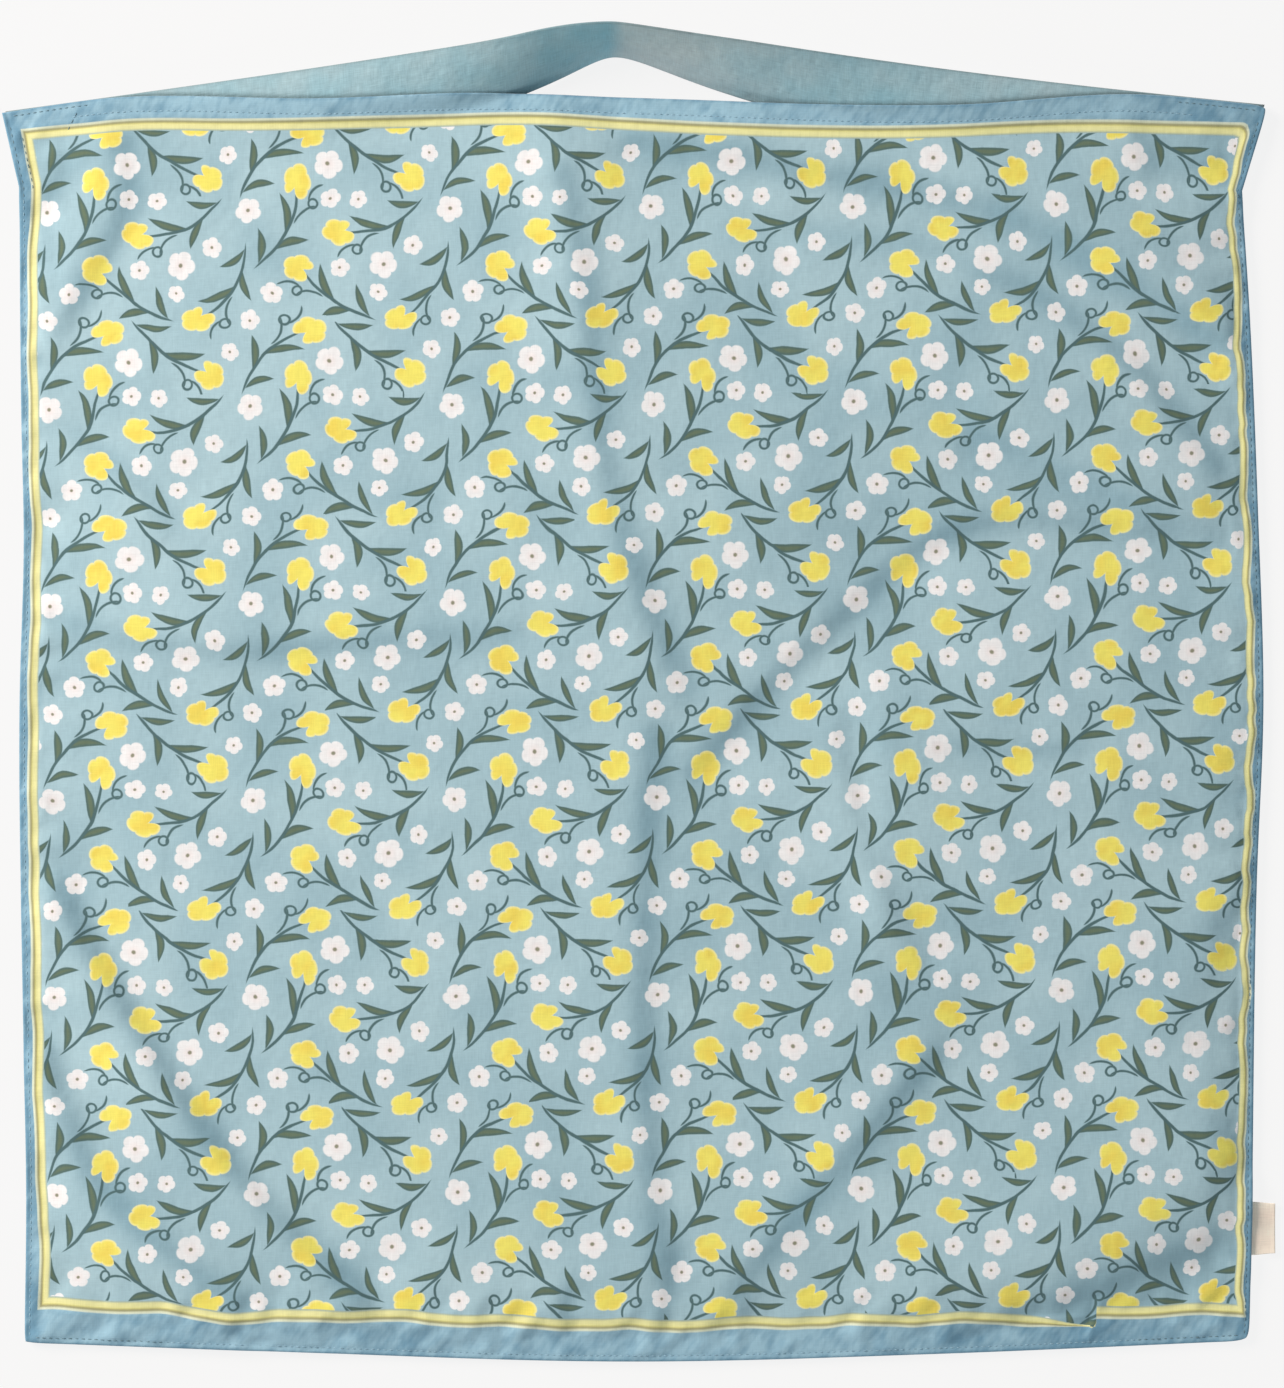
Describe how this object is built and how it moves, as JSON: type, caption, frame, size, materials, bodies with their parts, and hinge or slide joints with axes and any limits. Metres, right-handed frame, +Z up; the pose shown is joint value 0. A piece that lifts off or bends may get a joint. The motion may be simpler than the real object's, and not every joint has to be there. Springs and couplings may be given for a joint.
{
  "type": "scarf bag",
  "caption": "Square flat-lying cloth bag with a printed front, plain back, hemmed open top and one shoulder strap sewn in at both top corners.",
  "frame": {"origin": "middle of the bag's box, on the surface it lies on", "axes": "+X to the right along the hems, +Y from the foot to the strap, +Z up out of the printed face"},
  "size_m": [0.637, 0.665, 0.0366],
  "materials": {
    "printed_cloth": "fine plain-weave cotton, dusty blue with a yellow, white and green floral print",
    "plain_cloth": "the same cloth, plain dusty blue",
    "strap_cloth": "plain blue cloth folded double, slightly deeper in colour",
    "label_tape": "cream woven tape, blank"
  },
  "bodies": {
    "root": {"front_panel": "printed_cloth", "back_panel": "plain_cloth", "shoulder_strap": "strap_cloth", "side_label": "label_tape"}
  },
  "joints": []
}
